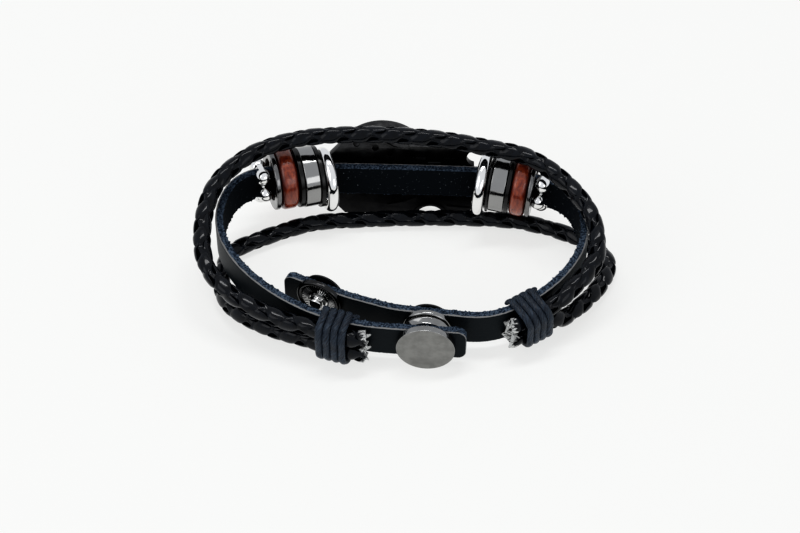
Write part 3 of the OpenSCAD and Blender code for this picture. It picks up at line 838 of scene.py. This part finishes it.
chrome = plated("chrome", (0.88, 0.88, 0.87), 0.05, 0.09, patch=3, tint=0.97)
band_steel = plated("band_steel", (0.36, 0.36, 0.355), 0.09, 0.14, patch=2.5, tint=0.95)
dark_steel = plated("dark_steel", (0.26, 0.26, 0.26), 0.12, 0.2, patch=1.2, tint=0.7)
black_metal, tree, shader = new_material("black_metal", Base_Color=(0.004, 0.004, 0.004, 1), Roughness=0.25)
own = own_place(tree)
feed(tree, shader.inputs["Normal"], use(tree, tooth, Place=own, Grain=0.5, Height=0.006))

# Wood: polished, red-brown and close-grained, with lighter and darker streaks across
# the bead, and painted shade darkening it towards its two ends
WOOD_DARK = (0.05, 0.008, 0.006, 1)
WOOD_RED = (0.2, 0.028, 0.014, 1)
WOOD_ORANGE = (0.46, 0.095, 0.033, 1)
red_wood, tree, shader = new_material("red_wood", Coat_Weight=0.7, Coat_Roughness=0.06)
own = own_place(tree)
streaks = put(tree, "Mapping", Vector=own, Scale=(0.35, 1.1, 1.3)).outputs[0]
figure = use(tree, clouding, Place=streaks, Size=0.8, From=0.32, To=0.68)
fine_streaks = put(tree, "Mapping", Vector=own, Scale=(0.3, 3.0, 3.5)).outputs[0]
pores = use(tree, clouding, Place=fine_streaks, Size=0.5, From=0.56, To=0.7)
base = blend_colours(tree, figure, WOOD_RED, WOOD_ORANGE)
along_bead = put(tree, "SeparateXYZ", Vector=own).outputs[2]
# Painted shade: the bead is darkened towards its two rounded ends. The darker pores are the wood's own.
ends = ease(tree, calc(tree, "ABSOLUTE", along_bead), 0.75, 1.5, 0.0, 0.85)
pores_and_end_shade = calc(tree, "MAXIMUM", pores, ends)
feed(tree, shader.inputs["Base Color"], blend_colours(tree, pores_and_end_shade, base, WOOD_DARK))
feed(tree, shader.inputs["Roughness"], ease(tree, pores, 0.0, 1.0, 0.3, 0.5))
feed(tree, shader.inputs["Normal"], use(tree, tooth, Place=streaks, Grain=0.4, Height=0.01))

for side, (start, heading, slider_heading, way, widths) in STACKS.items():
    # Round wire outside, bored flat on the leather side
    wire = RING_WIRE / 2
    middle = CHROME_RING / 2 - wire
    bored = math.degrees(math.acos((BEAD_BORE / 2 - middle) / wire))
    bead(side, "chrome_ring", 0, arc((middle, 0), wire, -bored, bored, 30), chrome, "chrome",
         out=RING_OUT, shift=RING_SHIFT)
    bead(side, "spacer", 1, ring_profile(BAND_BEAD + 0.2, widths[1], 0.12), black_metal, "black_metal")
    bead(side, "band_bead", 2, ring_profile(BAND_BEAD, widths[2], 0.18), band_steel, "chrome")
    bead(side, "black_ring", 3, ring_profile(BAND_BEAD + 0.2, widths[3], 0.15), black_metal, "black_metal")
    bead(side, "wood_bead", 4, ring_profile(WOOD_BEAD, widths[4], WOOD_EDGE_ROUND), red_wood, "red_wood")
    bead(side, "washer", 5, ring_profile(WOOD_BEAD - 0.2, widths[5], 0.25), dark_steel, "dark_nickel")

# Sliders: the sleeve is a low barrel pressed flat, and the balls stand round it
barrel = SLEEVE_LONG / 2
for side, first in FIRST_LOBE.items():
    inner = barrel - SLEEVE_WALL / SLEEVE_PRESSED
    half = SLEEVE_WIDE / 2
    bm = turn_profile([(inner, -half), (inner + 0.1, -half)]
                      + arc((barrel - SLEEVE_ROUND, SLEEVE_ROUND - half), SLEEVE_ROUND, -90, 0, 4)
                      + arc((barrel - SLEEVE_ROUND, half - SLEEVE_ROUND), SLEEVE_ROUND, 0, 90, 4)
                      + [(inner + 0.1, half), (inner, half)], 120)
    for v in bm.verts:
        back = SLEEVE_PRESSED * (barrel - v.co.xy.length)
        v.co.x = math.copysign(min(abs(v.co.x), SLEEVE_LONG / 2 - back), v.co.x)
        v.co.y = math.copysign(min(abs(v.co.y), SLEEVE_THICK / 2 - back), v.co.y)
    for number in range(LOBES):
        a = math.radians(first + 360 * number / LOBES)
        ball_at = Matrix.Translation((LOBE_UP * math.cos(a), LOBE_OUT * math.sin(a), 0))
        bmesh.ops.create_uvsphere(bm, u_segments=48, v_segments=32, radius=LOBE_RADIUS, matrix=ball_at)
    seat_piece(bm, bead_place(side, 6, out=SLIDER_OUT, shift=SLIDER_SHIFT, slider=True))
    bmesh.ops.recalc_face_normals(bm, faces=bm.faces)
    finish_piece(bm, "lobed_bead_" + side + "_piece", [chrome], ["lobed_bead_" + side])


# Ornament. A dark cast plate stands behind the strap, pegged to it, and carries a
# round dished medallion on its far side. Its form is the solid's own with softened
# edges. It has painted shade low down, where the strap shades it, and painted light higher up.
ORNAMENT_PAINTED_LIGHT_FROM = 13.0
ORNAMENT_EDGE = 0.09
# Tones of painted shade low down and of painted light higher up. The random tone blends each pair.
PAINTED_SHADE_TONES = ((0.012, 0.012, 0.013, 1), (0.022, 0.022, 0.023, 1))
PAINTED_LIGHT_TONES = ((0.05, 0.05, 0.051, 1), (0.09, 0.09, 0.09, 1))

bm = bmesh.new()
bm.from_mesh(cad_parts["ornament"].data)
bmesh.ops.scale(bm, verts=bm.verts, vec=(1 / MM, 1 / MM, 1 / MM))
bmesh.ops.remove_doubles(bm, verts=bm.verts, dist=0.002)
bmesh.ops.dissolve_limit(bm, angle_limit=math.radians(1.0), verts=bm.verts, edges=bm.edges)
sharp = [e for e in bm.edges if e.is_manifold and e.calc_face_angle(0.0) > math.radians(40)]
bmesh.ops.bevel(bm, geom=sharp, offset=ORNAMENT_EDGE, offset_type="OFFSET", segments=2, profile=0.5,
                affect="EDGES", clamp_overlap=True, material=-1)
seat_piece(bm, Matrix.Identity(4))

gunmetal, tree, shader = new_material("gunmetal", Metallic=1.0)
own = own_place(tree)
tone = use(tree, clouding, Place=own, Size=2.0, From=0.3, To=0.7)
height = put(tree, "SeparateXYZ", Vector=own).outputs[2]
# Painted shade and light: darker below this height, where the strap shades the plate, and lighter above it.
wear_and_painted_light = ease(tree, height, ORNAMENT_PAINTED_LIGHT_FROM, ORNAMENT_PAINTED_LIGHT_FROM + 2.5)
painted_shade_colour = blend_colours(tree, tone, *PAINTED_SHADE_TONES)
painted_light_colour = blend_colours(tree, tone, *PAINTED_LIGHT_TONES)
feed(tree, shader.inputs["Base Color"], blend_colours(tree, wear_and_painted_light, painted_shade_colour, painted_light_colour))
feed(tree, shader.inputs["Roughness"], ease(tree, tone, 0.0, 1.0, 0.28, 0.42))
feed(tree, shader.inputs["Normal"], use(tree, tooth, Place=own, Grain=0.3, Height=0.02))
finish_piece(bm, "ornament_piece", [gunmetal], ["ornament"])
